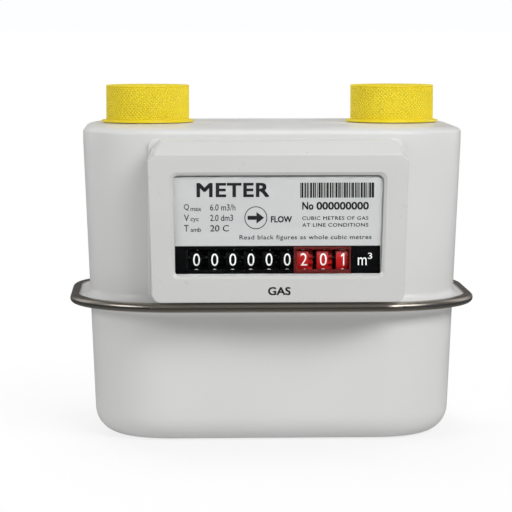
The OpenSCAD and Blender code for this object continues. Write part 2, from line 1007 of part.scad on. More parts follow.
// A flat link from one point to another, with an eye at each end.
module link(from, to, z) {
    span = norm(to - from);
    translate([from[0], from[1], z])
        rotate(atan2(to[1] - from[1], to[0] - from[0]))
            difference() {
                union() {
                    cylinder(r = 3.6, h = link_t);
                    translate([0, -2, 0])
                        cube([span, 4, link_t]);
                    translate([span, 0, 0])
                        cylinder(r = 3.6, h = link_t);
                }
                translate([0, 0, -1])
                    cylinder(r = 1.5 + run_fit, h = link_t + 2);
                translate([span, 0, -1])
                    cylinder(r = 1.9, h = link_t + 2);
            }
}

module front_link() color([0.85, 0.86, 0.87]) {
    link(front_arm_end, crank_pin, front_link_z);
}

module rear_link() color([0.85, 0.86, 0.87]) {
    link(rear_arm_end, crank_pin, rear_link_z);
}

module crank() color([0.92, 0.92, 0.9]) {
    translate([index_x, crank_y, 0]) {
        translate([0, 0, chamber_top])
            cylinder(r = crank_shaft_r, h = web_z - chamber_top + 2);
        translate([0, 0, 132.3])
            rotate(270 + 18)
                linear_extrude(height = 3.4)
                    gear_shape(10);
        translate([0, 0, web_z - 0.4])
            cylinder(r = 4.5, h = 2.9);
        rotate(crank_rest) {
            translate([0, -3, web_z])
                cube([crank_throw, 6, 2.5]);
            translate([crank_throw, 0, web_z])
                cylinder(r = 3.4, h = 2.5);
            translate([crank_throw, 0, web_z])
                cylinder(r = 1.5, h = pin_top - web_z);
        }
    }
}

module valve_sector(r_in, r_out, angle, z, h) {
    reach = 3 * r_out;
    translate([0, 0, z])
        linear_extrude(height = h)
            intersection() {
                difference() {
                    circle(r = r_out);
                    circle(r = r_in);
                }
                polygon([
                    [0, 0],
                    [reach * cos(angle / 2), -reach * sin(angle / 2)],
                    [reach * cos(angle / 2), reach * sin(angle / 2)]
                ]);
            }
}

module rotary_valve() color([0.3, 0.3, 0.32]) {
    cup_r = 7.2;
    translate([index_x, crank_y, seat_top + 0.05])
        difference() {
            cylinder(r = valve_r, h = valve_h);
            difference() {
                union() {
                    translate([0, 0, -1])
                        cylinder(r = cup_r, h = 4.2);
                    valve_sector(5, 14.3, 110, -1, 4.2);
                }
                translate([0, 0, -2])
                    cylinder(r = 3.4, h = 8);
            }
            rotate(180)
                valve_sector(8.7, 20, 120, -1, 10);
            translate([0, 0, -1])
                cylinder(r = crank_shaft_r + tiny, h = 10);
        }
}

module valve_seat() color([0.35, 0.36, 0.38]) {
    translate([0, 0, chamber_top])
        difference() {
            translate([14, -48, 0])
                cube([60, 96, seat_t]);
            translate([index_x, crank_y, 0]) {
                translate([0, 0, -1])
                    cylinder(r = crank_shaft_r + run_fit, h = 10);
                for (a = [45, 225]) {
                    rotate(a)
                        valve_sector(3.6, 6.5, 130, -1, 10);
                }
                for (a = [0:90:270]) {
                    rotate(a)
                        valve_sector(9, 14, 40, -1, 10);
                }
            }
            translate([port_x, 0, -1])
                cylinder(r = 11.5, h = 10);
        }
}

module movement_bracket() color([0.55, 0.56, 0.58]) {
    difference() {
        union() {
            translate([18, -46, seat_top])
                cube([4, 48, 2]);
            translate([18, -46, seat_top])
                cube([26, 3, 2]);
            translate([18, -2, seat_top])
                cube([26, 4, 2]);
            translate([36, -46, seat_top])
                cube([8, 3, 22]);
            translate([36, -2, seat_top])
                cube([8, 4, 24]);
            translate([36, crank_y, 127])
                cube([8, 2 - crank_y, 4]);
            translate([index_x, crank_y, 127])
                cylinder(r = 4.4, h = 4);
        }
        translate([index_x, crank_y, 120])
            cylinder(r = crank_shaft_r + run_fit, h = 20);
        translate([index_x, -40, shaft_z])
            rotate([90, 0, 0])
                cylinder(r = shaft_r + run_fit, h = 10);
    }
}

module outlet_tube() color([0.6, 0.62, 0.64]) {
    translate([port_x, 0, 0])
        rotate_extrude()
            polygon([
                [11.5, seat_top],
                [16, seat_top],
                [16, seat_top + 2],
                [13, seat_top + 2],
                [13, 143],
                [19.4, 149],
                [19.4, 156],
                [17.9, 156],
                [17.9, 150],
                [11.5, 144]
            ]);
}

module outlet_seal() color([0.1, 0.1, 0.1]) {
    translate([port_x, 0, 153.5])
        rotate_extrude()
            translate([16.95, 0])
                circle(r = 0.94, $fn = 48);
}

lower_case();
upper_case();
case_gasket();
clamp_band();
inlet_spigot();
outlet_spigot();
inlet_cap();
outlet_cap();
index_housing();
index_bezel();
index_window();
window_gasket();
dial_plate();
counter_mask();
decimal_frame();
counter_frame();
drum_axle();
pinion_axle();
index_screws();
number_drum_1();
number_drum_2();
number_drum_3();
number_drum_4();
number_drum_5();
number_drum_6();
number_drum_7();
number_drum_8();
number_drum_9();
transfer_pinion_1();
transfer_pinion_2();
transfer_pinion_3();
transfer_pinion_4();
transfer_pinion_5();
transfer_pinion_6();
transfer_pinion_7();
transfer_pinion_8();
index_layshaft();
index_drive_shaft();
shaft_bushing();
chamber_body();
front_chamber_cover();
rear_chamber_cover();
chamber_screws();
front_diaphragm();
rear_diaphragm();
front_diaphragm_disc();
rear_diaphragm_disc();
front_flag_rod();
rear_flag_rod();
front_flag_arm();
rear_flag_arm();
front_link();
rear_link();
crank();
rotary_valve();
valve_seat();
movement_bracket();
outlet_tube();
outlet_seal();
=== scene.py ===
"""Looks of a domestic gas meter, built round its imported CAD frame.

Shapes are worked out in millimetres, in the frame's own axes, and turned into metres when a mesh is made.
"""

import json
import math

import bmesh
import bpy
from mathutils import Matrix, Vector


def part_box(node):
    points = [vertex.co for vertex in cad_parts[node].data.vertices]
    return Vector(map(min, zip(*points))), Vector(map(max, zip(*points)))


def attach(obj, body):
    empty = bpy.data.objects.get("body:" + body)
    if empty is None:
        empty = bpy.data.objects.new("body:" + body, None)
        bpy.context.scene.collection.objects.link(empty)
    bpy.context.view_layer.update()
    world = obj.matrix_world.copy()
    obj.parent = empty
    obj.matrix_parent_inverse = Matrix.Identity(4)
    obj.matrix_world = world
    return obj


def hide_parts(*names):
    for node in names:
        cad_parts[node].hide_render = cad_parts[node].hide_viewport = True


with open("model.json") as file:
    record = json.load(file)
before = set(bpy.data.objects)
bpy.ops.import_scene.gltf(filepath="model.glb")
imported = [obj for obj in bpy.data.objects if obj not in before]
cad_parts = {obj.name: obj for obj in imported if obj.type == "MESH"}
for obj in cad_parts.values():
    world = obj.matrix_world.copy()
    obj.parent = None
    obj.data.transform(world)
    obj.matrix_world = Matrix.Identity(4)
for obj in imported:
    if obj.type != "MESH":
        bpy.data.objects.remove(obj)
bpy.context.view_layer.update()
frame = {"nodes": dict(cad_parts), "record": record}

MM = 0.001
NODES = frame["nodes"]


def box_mm(node):
    """Lowest and highest corner of a CAD node, in millimetres."""
    low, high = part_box(node)
    return low / MM, high / MM


# ---------------------------------------------------------------- driving sizes

# Case: half width and half depth at its top and bottom, and the rounding of its edges.
CASE_TOP_HALF = (98.6, 67.3)
CASE_BOTTOM_HALF = (92.9, 62.6)
CASE_CORNER_R = 40.0
CASE_TOP_Z = box_mm("inlet_spigot")[0].z + 10.0
WIDEST_Z = CASE_TOP_Z - 7.5
BOTTOM_EDGE_R = 14.0
TOP_EDGE_R = 7.2
TOP_EDGE_H = 2.9
TOP_EDGE_Z = CASE_TOP_Z - 3.7
CROWN_INSET = 34.0
CROWN_Z = CASE_TOP_Z - 0.15
SHEET = 1.5
SEAM_Z = 71.0
SEAM_GAP = 0.45
FLANGE_T = 1.2
FLANGE_HALF = (box_mm("clamp_band")[1].x - 2.1, box_mm("clamp_band")[1].y - 2.1)
FLANGE_CORNER_R = 53.0
FLANGE_FILLET = 4.5
PORT_X = 65.0
PORT_HOLE_R = 20.0
LAND_R = 24.0

# Index box: planes in front of the pipe axes.
PAD_FACE = -68.6
PAD_BACK = -62.4
BOX_FRONT = -92.5
BEZEL_FACE = box_mm("index_bezel")[0].y
GLASS_FACE = box_mm("index_window")[0].y
PLATE_FACE = box_mm("dial_plate")[0].y
BOX_LOW = box_mm("index_housing")[0].z
BOX_HIGH = box_mm("index_housing")[1].z
WINDOW_MID = 114.5

# Counter. The numerals stand a little right of and above the middle of each drum's front.
DRUM_R = 12.5
DRUM_W = 5.7
DRUM_COUNT = 9
BLACK_COUNT = 6
READING = "000000201"
NUMERAL_W = 3.4
NUMERAL_H = 6.25
NUMERAL_WEIGHT = -0.04
NUMERAL_SHIFT = 0.45
NUMERAL_LIFT = 0.004
SLOT_LOW = 92.5
SLOT_HIGH = 102.5


# ---------------------------------------------------------------- mesh helpers


def add_object(name, mesh):
    obj = bpy.data.objects.new(name, mesh)
    bpy.context.scene.collection.objects.link(obj)
    return obj


def shade(obj, sharp_degrees):
    """Smooth faces, with edges sharper than the angle kept crisp."""
    obj.data.shade_smooth()
    obj.data.set_sharp_from_angle(angle=math.radians(sharp_degrees))


def solid(name, points, faces):
    """An object from points in millimetres, with its faces turned outwards."""
    mesh = bpy.data.meshes.new(name)
    mesh.from_pydata([Vector(p) * MM for p in points], [], faces)
    bm = bmesh.new()
    bm.from_mesh(mesh)
    bmesh.ops.recalc_face_normals(bm, faces=bm.faces)
    bm.to_mesh(mesh)
    bm.free()
    return add_object(name, mesh)


def loft(name, rings, closed=False):
    """Skins rings of equal length. An open run is capped at both ends, a closed one meets itself."""
    count = len(rings[0])
    points = [p for ring in rings for p in ring]
    faces = []
    for k in range(len(rings) if closed else len(rings) - 1):
        a = k * count
        b = (k + 1) % len(rings) * count
        for i in range(count):
            j = (i + 1) % count
            faces.append((a + i, a + j, b + j, b + i))
    if not closed:
        faces.append(tuple(range(count - 1, -1, -1)))
        faces.append(tuple(range(len(points) - count, len(points))))
    return solid(name, points, faces)


def spread(first, last, steps):
    """steps + 1 values from first to last."""
    return [first + (last - first) * i / steps for i in range(steps + 1)]


def rounded_ring(half, r, z, arc_steps=14, side_steps=(36, 14)):
    """Points round a level rectangle with round corners. The count is the same at every size."""
    half_w, half_d = half
    r = min(r, half_w - 0.5, half_d - 0.5)
    arcs = []
    for k, (sx, sy) in enumerate([(1, 1), (-1, 1), (-1, -1), (1, -1)]):
        centre = Vector((sx * (half_w - r), sy * (half_d - r), z))
        turns = spread(k * math.pi / 2, (k + 1) * math.pi / 2, arc_steps)
        arcs.append([centre + Vector((r * math.cos(a), r * math.sin(a), 0)) for a in turns])
    points = []
    for k, arc in enumerate(arcs):
        points += arc
        steps = side_steps[k % 2]
        points += [arc[-1].lerp(arcs[(k + 1) % 4][0], i / steps) for i in range(1, steps)]
    return points


def filleted(corners, arc_steps=6):
    """Points round a polygon of (x, z, radius) corners, listed anticlockwise."""
    points = []
    for k, (x, z, r) in enumerate(corners):
        here = Vector((x, z))
        before = (Vector(corners[k - 1][:2]) - here).normalized()
        after = (Vector(corners[(k + 1) % len(corners)][:2]) - here).normalized()
        half_angle = before.angle(after) / 2
        middle = here + (before + after).normalized() * (r / math.sin(half_angle))
        start = here + before * (r / math.tan(half_angle)) - middle
        sweep = math.pi - 2 * half_angle
        for a in spread(0, sweep, arc_steps):
            points.append(middle + Matrix.Rotation(a, 2) @ start)
    return points


def rectangle(left, low, right, high, r):
    """Corners of an upright rectangle, for filleted."""
    return [(left, low, r), (right, low, r), (right, high, r), (left, high, r)]


def inset_corners(corners, distance):
    """The same polygon with every side moved inwards."""
    moved = []
    for k, (x, z, r) in enumerate(corners):
        here = Vector((x, z))
        before = (Vector(corners[k - 1][:2]) - here).normalized()
        after = (Vector(corners[(k + 1) % len(corners)][:2]) - here).normalized()
        half_angle = before.angle(after) / 2
        point = here + (before + after).normalized() * (distance / math.sin(half_angle))
        moved.append((point.x, point.y, max(r - distance, 0.05)))
    return moved


def upright(outline, y):
    """An outline of (x, z) points as a ring that stands at depth y."""
    return [(p[0], y, p[1]) for p in outline]


def turned(name, outline, centre, steps=96):
    """A ring-shaped solid of revolution about an upright axis, from a closed (radius, z) outline."""
    rings = []
    for a in spread(0, 2 * math.pi, steps)[:-1]:
        rings.append([(centre[0] + r * math.cos(a), centre[1] + r * math.sin(a), z) for r, z in outline])
    return loft(name, rings, closed=True)


def revolved(rings, centre_x):
    """Points of rings whose radius may vary round them. Each ring lists a (radius, z) for every step."""
    placed = []
    for ring in rings:
        steps = len(ring)
        placed.append([
            (centre_x + r * math.cos(2 * math.pi * i / steps), r * math.sin(2 * math.pi * i / steps), z)
            for i, (r, z) in enumerate(ring)
        ])
    return placed


def circle(centre, r, steps, first=0.0):
    """Points round a circle, from the angle first."""
    turns = spread(first, 2 * math.pi + first, steps)[:-1]
    return [(centre[0] + r * math.cos(a), centre[1] + r * math.sin(a)) for a in turns]


def prism(name, outline, y_front, y_back):
    """A straight-sided solid along Y."""
    return loft(name, [upright(outline, y_back), upright(outline, y_front)])


def rod(name, centre, r, y_front, y_back, steps=48):
    """A cylinder along Y, used to cut or add round features."""
    return prism(name, circle(centre, r, steps), y_front, y_back)


def post(name, centre, r, z_low, z_high, steps=96):
    """A cylinder along Z, used to cut holes. Its edges lie between those of a turned ring."""
    outline = circle(centre, r, steps, first=math.pi / steps)
    return loft(name, [[(x, y, z) for x, y in outline] for z in (z_low, z_high)])


def apply_modifiers(obj):
    """Makes the modified shape the object's own mesh."""
    graph = bpy.context.evaluated_depsgraph_get()
    mesh = bpy.data.meshes.new_from_object(obj.evaluated_get(graph))
    obj.modifiers.clear()
    obj.data = mesh
    return obj


def combine(obj, tool, operation):
    """Fuses the tool into obj (UNION) or cuts it away (DIFFERENCE), and removes the tool."""
    modifier = obj.modifiers.new("combine", "BOOLEAN")
    modifier.operation = operation
    modifier.solver = "EXACT"
    modifier.object = tool
    apply_modifiers(obj)
    bpy.data.objects.remove(tool)
    return obj


def weld(obj, distance=0.0001):
    """Joins points less than distance millimetres apart after a cut, so that the solid stays closed."""
    bm = bmesh.new()
    bm.from_mesh(obj.data)
    bmesh.ops.remove_doubles(bm, verts=bm.verts, dist=distance * MM)
    bm.to_mesh(obj.data)
    bm.free()
    return obj


def bevel(obj, width):
    """Softens every edge sharper than 30 degrees."""
    modifier = obj.modifiers.new("bevel", "BEVEL")
    modifier.width = width * MM
    modifier.segments = 2
    modifier.limit_method = "ANGLE"
    modifier.angle_limit = math.radians(30)
    return apply_modifiers(obj)


# ---------------------------------------------------------------- material helpers


class Finish:
    """A node material under construction on one Principled shader."""

    def __init__(self, name, colour, roughness, metallic=0.0, **sockets):
        self.material = bpy.data.materials.new(name)
        self.material.use_nodes = True
        self.tree = self.material.node_tree
        self.tree.nodes.clear()
        self.shader = self.node("ShaderNodeBsdfPrincipled")
        output = self.node("ShaderNodeOutputMaterial")
        self.tree.links.new(self.shader.outputs[0], output.inputs["Surface"])
        self.coords = self.node("ShaderNodeTexCoord").outputs["Object"]
        self.shader.inputs["Base Color"].default_value = (*colour, 1)
        self.shader.inputs["Roughness"].default_value = roughness
        self.shader.inputs["Metallic"].default_value = metallic
        for socket, value in sockets.items():
            self.shader.inputs[socket.replace("_", " ")].default_value = value

    def node(self, kind, **inputs):
        """A new node. Each input takes a number, a colour or another node's output."""
        made = self.tree.nodes.new(kind)
        for socket, value in inputs.items():
            target = made.inputs[socket.replace("_", " ")]
            if isinstance(value, bpy.types.NodeSocket):
                self.tree.links.new(value, target)
            else:
                target.default_value = value
        return made

    def noise(self, scale, detail=4.0, roughness=0.55, stretch=(1, 1, 1)):
        """Noise with features 1 / scale metres across, longer along an axis where stretch is low."""
        placed = self.node("ShaderNodeMapping", Vector=self.coords, Scale=stretch)
        made = self.node("ShaderNodeTexNoise", Vector=placed.outputs[0], Scale=scale, Detail=detail,
                         Roughness=roughness)
        return made.outputs[0]

    def tint(self, value, dark, light):
        """Mixes the base colour between two colours by a value."""
        made = self.tree.nodes.new("ShaderNodeValToRGB")
        made.color_ramp.elements[0].position = 0.32
        made.color_ramp.elements[1].position = 0.68
        made.color_ramp.elements[0].color = (*dark, 1)
        made.color_ramp.elements[1].color = (*light, 1)
        self.tree.links.new(value, made.inputs["Fac"])
        self.tree.links.new(made.outputs["Color"], self.shader.inputs["Base Color"])

    def rough(self, value, low, high):
        """Varies the roughness between two levels by a value."""
        spread_out = self.node("ShaderNodeMapRange", Value=value, From_Min=0.3, From_Max=0.7,
                               To_Min=low, To_Max=high)
        self.tree.links.new(spread_out.outputs["Result"], self.shader.inputs["Roughness"])

    def bump(self, value, strength, depth_mm):
        """Adds relief on top of any relief already there."""
        made = self.node("ShaderNodeBump", Height=value, Strength=strength, Distance=depth_mm * MM)
        socket = self.shader.inputs["Normal"]
        if socket.is_linked:
            self.tree.links.new(socket.links[0].from_socket, made.inputs["Normal"])
        self.tree.links.new(made.outputs[0], socket)


def shades(colour, by):
    """A darker and a lighter version of a colour."""
    return tuple(c * (1 - by) for c in colour), tuple(min(c * (1 + by), 1) for c in colour)


def painted_steel():
    """Powder coat: faint orange peel, slight unevenness in tone and gloss."""
    made = Finish("case_paint", (0.72, 0.72, 0.715), 0.42, IOR=1.48)
    made.tint(made.noise(14, detail=3), *shades((0.715, 0.715, 0.708), 0.012))
    made.rough(made.noise(60, detail=5), 0.32, 0.42)
    made.bump(made.noise(520, detail=2), 0.55, 0.07)
    made.bump(made.noise(2600, detail=3), 0.25, 0.012)
    return made.material


def moulded(name, colour, roughness, grain=1500, variation=0.03, **sockets):
    """Injection-moulded plastic with a fine spark-eroded grain and faint flow marks."""
    made = Finish(name, colour, roughness, **sockets)
    made.tint(made.noise(22, detail=4, stretch=(1, 1, 2.5)), *shades(colour, variation))
    made.rough(made.noise(120, detail=4), roughness - 0.05, roughness + 0.05)
    made.bump(made.noise(grain, detail=3), 0.3, 0.03)
    return made.material


def metal(name, colour, roughness, stretch, grain=900, variation=0.08, scratch=0.35):
    """Drawn or brushed metal: streaks that are long where stretch is low."""
    made = Finish(name, colour, roughness, metallic=1.0)
    streaks = made.noise(grain, detail=6, roughness=0.7, stretch=stretch)
    made.tint(made.noise(90, detail=4, stretch=stretch), *shades(colour, variation))
    made.rough(streaks, roughness - 0.09, roughness + 0.1)
    made.bump(streaks, scratch, 0.02)
    return made.material


def plated_steel(name, colour, roughness):
    """Zinc plate: soft cloudy patches over a fine satin."""
    made = Finish(name, colour, roughness, metallic=1.0)
    made.tint(made.noise(160, detail=5), *shades(colour, 0.1))
    made.rough(made.noise(420, detail=4), roughness - 0.08, roughness + 0.12)
    made.bump(made.noise(2200, detail=2), 0.25, 0.015)
    return made.material


def rubber(name, colour):
    """Moulded rubber: matt, with a fine skin."""
    made = Finish(name, colour, 0.72)
    made.tint(made.noise(70, detail=5), *shades(colour, 0.25))
    made.rough(made.noise(200, detail=4), 0.62, 0.82)
    made.bump(made.noise(1800, detail=3), 0.4, 0.03)
    return made.material


def coated_fabric():
    """Diaphragm cloth: a plain weave that shows through its rubber coat."""
    made = Finish("diaphragm_cloth", (0.055, 0.042, 0.036), 0.66)
    threads = 420.0
    across = made.node("ShaderNodeTexWave", Vector=made.coords, Scale=threads, Distortion=0.6)
    along = made.node("ShaderNodeTexWave", Vector=made.coords, Scale=threads, Distortion=0.6)
    along.bands_direction = "Z"
    weave = made.node("ShaderNodeMath")
    weave.operation = "MULTIPLY"
    made.tree.links.new(across.outputs["Fac"], weave.inputs[0])
    made.tree.links.new(along.outputs["Fac"], weave.inputs[1])
    made.tint(made.noise(50, detail=4), (0.04, 0.03, 0.026), (0.08, 0.062, 0.052))
    made.rough(made.noise(150, detail=3), 0.58, 0.75)
    made.bump(weave.outputs[0], 0.5, 0.12)
    return made.material


def clear_window():
    """Polycarbonate with a very slight wave in its face."""
    made = Finish("window_polycarbonate", (0.97, 0.985, 0.985), 0.015,
                  Transmission_Weight=1.0, IOR=1.12)
    made.bump(made.noise(30, detail=2), 0.05, 0.1)
    return made.material


def printing_ink(name, colour):
    """Screen-printed ink: slightly uneven density, nearly matt."""
    made = Finish(name, colour, 0.55, Specular_IOR_Level=0.15)
    made.tint(made.noise(900, detail=3), *shades(colour, 0.1))
    made.rough(made.noise(700, detail=3), 0.48, 0.64)
    return made.material


def yellow_polyethylene():
    """Cap plastic: waxy and a little see-into, with scuffs on the outside."""
    made = Finish("cap_polyethylene", (0.85, 0.67, 0.012), 0.46,
                  Subsurface_Weight=0.12, Subsurface_Scale=0.002)
    made.shader.inputs["Subsurface Radius"].default_value = (1.0, 0.6, 0.1)
    made.tint(made.noise(45, detail=5), (0.82, 0.64, 0.008), (0.90, 0.72, 0.016))
    made.rough(made.noise(260, detail=5), 0.34, 0.52)
    made.bump(made.noise(1500, detail=3), 0.3, 0.02)
    return made.material


# One material for each of the record's material slots.
MATERIALS = {
    "case_paint": painted_steel(),
    "band_steel": metal("band_steel", (0.34, 0.308, 0.27), 0.34, (0.05, 0.05, 3.0), grain=1600),
    "spigot_steel": plated_steel("spigot_zinc", (0.62, 0.62, 0.60), 0.34),
    "cap_plastic": yellow_polyethylene(),
    "index_plastic": moulded("index_abs", (0.635, 0.635, 0.622), 0.32, variation=0.012, IOR=1.5),
    "window_clear": clear_window(),
    "seal_rubber": rubber("seal_rubber", (0.03, 0.03, 0.03)),
    "dial_white": moulded("dial_plate_white", (0.485, 0.485, 0.483), 0.5, grain=2600, variation=0.01),
    "mask_black": moulded("mask_black", (0.0025, 0.0025, 0.003), 0.55, grain=2200, variation=0.2,
                          Specular_IOR_Level=0.03),
    "drum_black": moulded("drum_black", (0.0025, 0.0025, 0.003), 0.5, grain=2400, variation=0.2,
                          Specular_IOR_Level=0.04),
    "drum_red": moulded("drum_red", (0.42, 0.008, 0.009), 0.36, grain=2400, variation=0.08,
                        Specular_IOR_Level=0.3),
    "frame_red": moulded("frame_red", (0.1, 0.007, 0.006), 0.5, grain=2000, variation=0.08,
                         Specular_IOR_Level=0.2),
    "frame_plastic": moulded("frame_grey", (0.03, 0.032, 0.035), 0.45, variation=0.15),
    "gear_plastic": moulded("acetal_natural", (0.72, 0.71, 0.66), 0.34, variation=0.03,
                            Subsurface_Weight=0.15, Subsurface_Scale=0.001),
    "pin_steel": metal("pin_steel", (0.58, 0.59, 0.6), 0.2, (0.2, 1.0, 1.0), grain=2600,
                       variation=0.05),
    "bushing_brass": metal("turned_brass", (0.62, 0.45, 0.15), 0.24, (1.0, 0.2, 1.0), grain=2600),
    "chamber_plastic": moulded("chamber_blue", (0.02, 0.045, 0.085), 0.42, variation=0.12),
    "diaphragm_rubber": coated_fabric(),
    "disc_aluminium": metal("disc_aluminium", (0.62, 0.63, 0.64), 0.36, (1.0, 1.0, 0.12), grain=1300),
    "rod_steel": metal("rod_steel", (0.52, 0.53, 0.54), 0.26, (1.0, 1.0, 0.15), grain=2200),
}
INK_BLACK = printing_ink("ink_black", (0.012, 0.012, 0.013))
INK_WHITE = printing_ink("ink_white", (0.86, 0.86, 0.84))


def piece(obj, body, slot, replaces=(), material=None, sharp_degrees=35):
    """Finishes a visual piece: its shading, its material and the body it rides on. Without a material of
    its own it takes its slot's.
    """
    shade(obj, sharp_degrees)
    obj.data.materials.clear()
    obj.data.materials.append(material or MATERIALS[slot])
    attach(obj, body)
    if replaces:
        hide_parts(*replaces)
    return obj


# ---------------------------------------------------------------- camera, floor and light


def make_camera():
    """Long lens a little above the meter and to the left of its middle."""
    azimuth = math.radians(-2.2)
    elevation = math.radians(5.5)
    distance = 1.35
    target = Vector((-7.4, 0, 90.1)) * MM
    level = math.cos(elevation)
    back = Vector((math.sin(azimuth) * level, -math.cos(azimuth) * level, math.sin(elevation)))
    data = bpy.data.cameras.new("camera")
    data.sensor_width = 36
    data.lens = 177.2
    data.clip_end = 100
    camera = add_object("camera", data)
    camera.location = target + back * distance
    camera.rotation_mode = "QUATERNION"
    camera.rotation_quaternion = (-back).to_track_quat("-Z", "Y")
    bpy.context.scene.camera = camera


def ray_switch(tree, seen, diffuse, glossy):
    """A number that differs for the camera's own rays, for soft light and for reflections."""
    rays = tree.nodes.new("ShaderNodeLightPath")
    level = diffuse
    for ray, value in (("Is Glossy Ray", glossy), ("Is Camera Ray", seen)):
        mix = tree.nodes.new("ShaderNodeMix")
        tree.links.new(rays.outputs[ray], mix.inputs["Factor"])
        if isinstance(level, bpy.types.NodeSocket):
            tree.links.new(level, mix.inputs["A"])
        else:
            mix.inputs["A"].default_value = level
        mix.inputs["B"].default_value = value
        level = mix.outputs["Result"]
    return level


def make_floor():
    """A wide pale floor that brightens to plain white away from the meter."""
    reach = 30000
    corners = [(-reach, -reach, 0), (reach, -reach, 0), (reach, reach, 0), (-reach, reach, 0)]
    floor = solid("floor", corners, [(0, 1, 2, 3)])
    floor.location.z = -0.2 * MM
    material = bpy.data.materials.new("floor_white")
    material.use_nodes = True
    tree = material.node_tree
    shader = tree.nodes["Principled BSDF"]
    shader.inputs["Base Color"].default_value = (0.93, 0.93, 0.93, 1)
    shader.inputs["Roughness"].default_value = 0.9
    shader.inputs["Specular IOR Level"].default_value = 0.1
    glow = tree.nodes.new("ShaderNodeEmission")
    glow.inputs["Color"].default_value = (1, 1, 1, 1)
    tree.links.new(ray_switch(tree, 1.0, 0.66, 0.06), glow.inputs["Strength"])
    coords = tree.nodes.new("ShaderNodeTexCoord")
    distance = tree.nodes.new("ShaderNodeVectorMath")
    distance.operation = "LENGTH"
    fade = tree.nodes.new("ShaderNodeMapRange")
    fade.inputs["From Min"].default_value = 0.08
    fade.inputs["From Max"].default_value = 0.3
    fade.inputs["To Min"].default_value = 0.72
    mix = tree.nodes.new("ShaderNodeMixShader")
    tree.links.new(coords.outputs["Object"], distance.inputs[0])
    tree.links.new(distance.outputs["Value"], fade.inputs["Value"])
    tree.links.new(fade.outputs["Result"], mix.inputs["Fac"])
    tree.links.new(shader.outputs[0], mix.inputs[1])
    tree.links.new(glow.outputs[0], mix.inputs[2])
    tree.links.new(mix.outputs[0], tree.nodes["Material Output"].inputs["Surface"])
    floor.data.materials.append(material)


def make_light(name, place, aim, size, watts, glossy=True):
    """A soft box, placed and sized in metres. With glossy off it leaves no glare on the meter's top."""
    data = bpy.data.lights.new(name, "AREA")
    data.shape = "RECTANGLE"
    data.size, data.size_y = size
    data.energy = watts
    light = add_object(name, data)
    light.location = place
    light.visible_glossy = glossy
    light.rotation_mode = "QUATERNION"
    light.rotation_quaternion = (Vector(aim) - Vector(place)).to_track_quat("-Z", "Y")


def make_world():
    """White round the meter, seen in full by the camera and dimly by everything else."""
    world = bpy.data.worlds.new("studio")
    world.use_nodes = True
    tree = world.node_tree
    background = tree.nodes["Background"]
    background.inputs["Color"].default_value = (0.98, 0.99, 1.0, 1)
    tree.links.new(ray_switch(tree, 1.0, 0.12, 0.13), background.inputs["Strength"])
    bpy.context.scene.world = world
    bpy.context.scene.view_settings.view_transform = "Standard"


make_camera()
make_floor()
make_world()
make_light("key", (0.7, -1.1, 0.87), (0, 0, 0.08), (1.15, 0.45), 14.8)
make_light("left", (-1.25, -0.75, 0.72), (0, 0, 0.08), (0.8, 0.45), 7.0)
make_light("top", (0.1, 0.05, 1.3), (0, 0, 0.15), (0.8, 0.6), 4.2)
for side in (-1, 1):
    make_light("side", (side * 1.15, 0.7, 0.55), (0, 0, 0.08), (0.8, 1.2), 3.2)
make_light("back", (-0.3, 1.25, 0.85), (0, 0, 0.1), (1.2, 0.6), 12.0, glossy=False)


# ---------------------------------------------------------------- case shells


def wall_half(z):
    """Half width and half depth of the case wall at a level, ahead of the rounded edges."""
    share = (min(max(z, BOTTOM_EDGE_R), WIDEST_Z) - BOTTOM_EDGE_R) / (WIDEST_Z - BOTTOM_EDGE_R)
    return tuple(b + (t - b) * share for b, t in zip(CASE_BOTTOM_HALF, CASE_TOP_HALF))


def wall_ring(inset, z):
    """A ring at a level, inset from the wall there."""
    half = tuple(h - inset for h in wall_half(z))
    return rounded_ring(half, max(CASE_CORNER_R - inset, 3.0), z)


def upper_skin(wall, base_z):
    """Rings up the wall, round the top edge and in over the crown, wall inside the outer skin."""
    r, h = TOP_EDGE_R - wall, TOP_EDGE_H - wall
    edge_end = math.radians(80)
    crown_power = 2.4
    rings = [wall_ring(wall, z) for z in spread(base_z, TOP_EDGE_Z, 16)[:-1]]
    for a in spread(0, edge_end, 12):
        rings.append(wall_ring(TOP_EDGE_R - r * math.cos(a), TOP_EDGE_Z + h * math.sin(a)))
    inset = TOP_EDGE_R - r * math.cos(edge_end)
    low = TOP_EDGE_Z + h * math.sin(edge_end)
    for s in spread(0, 1, 12)[1:]:
        rise = (CROWN_Z - wall - low) * (1 - (1 - s) ** crown_power)
        rings.append(wall_ring(inset + (CROWN_INSET - inset) * s, low + rise))
    return rings


def flange_rings(z_first, z_last):
    """Rings round the flange's edge, from one face to the other."""
    soft = 0.3 if z_last > z_first else -0.3
    rim = tuple(h - abs(soft) for h in FLANGE_HALF)
    return [
        rounded_ring(rim, FLANGE_CORNER_R, z_first),
        rounded_ring(FLANGE_HALF, FLANGE_CORNER_R, z_first + soft),
        rounded_ring(FLANGE_HALF, FLANGE_CORNER_R, z_last - soft),
        rounded_ring(rim, FLANGE_CORNER_R, z_last),
    ]


def fillet_rings(face_z, side):
    """The curve from the flange's face to the wall, above it (side 1) or below it (side -1)."""
    rings = []
    for a in spread(0, math.pi / 2, 8):
        z = face_z + side * FLANGE_FILLET * (1 - math.cos(a))
        rings.append(wall_ring(-FLANGE_FILLET * (1 - math.sin(a)), z))
    return rings


def port_land(side):
    """The raised flat ring that a connection stands on."""
    top, under = CASE_TOP_Z, CASE_TOP_Z - 3
    outline = [(12, under), (LAND_R + 0.6, under), (LAND_R + 0.6, top - 0.9), (LAND_R + 0.2, top - 0.35),
               (LAND_R - 0.5, top), (12, top)]
    return turned("land", outline, (side * PORT_X, 0))


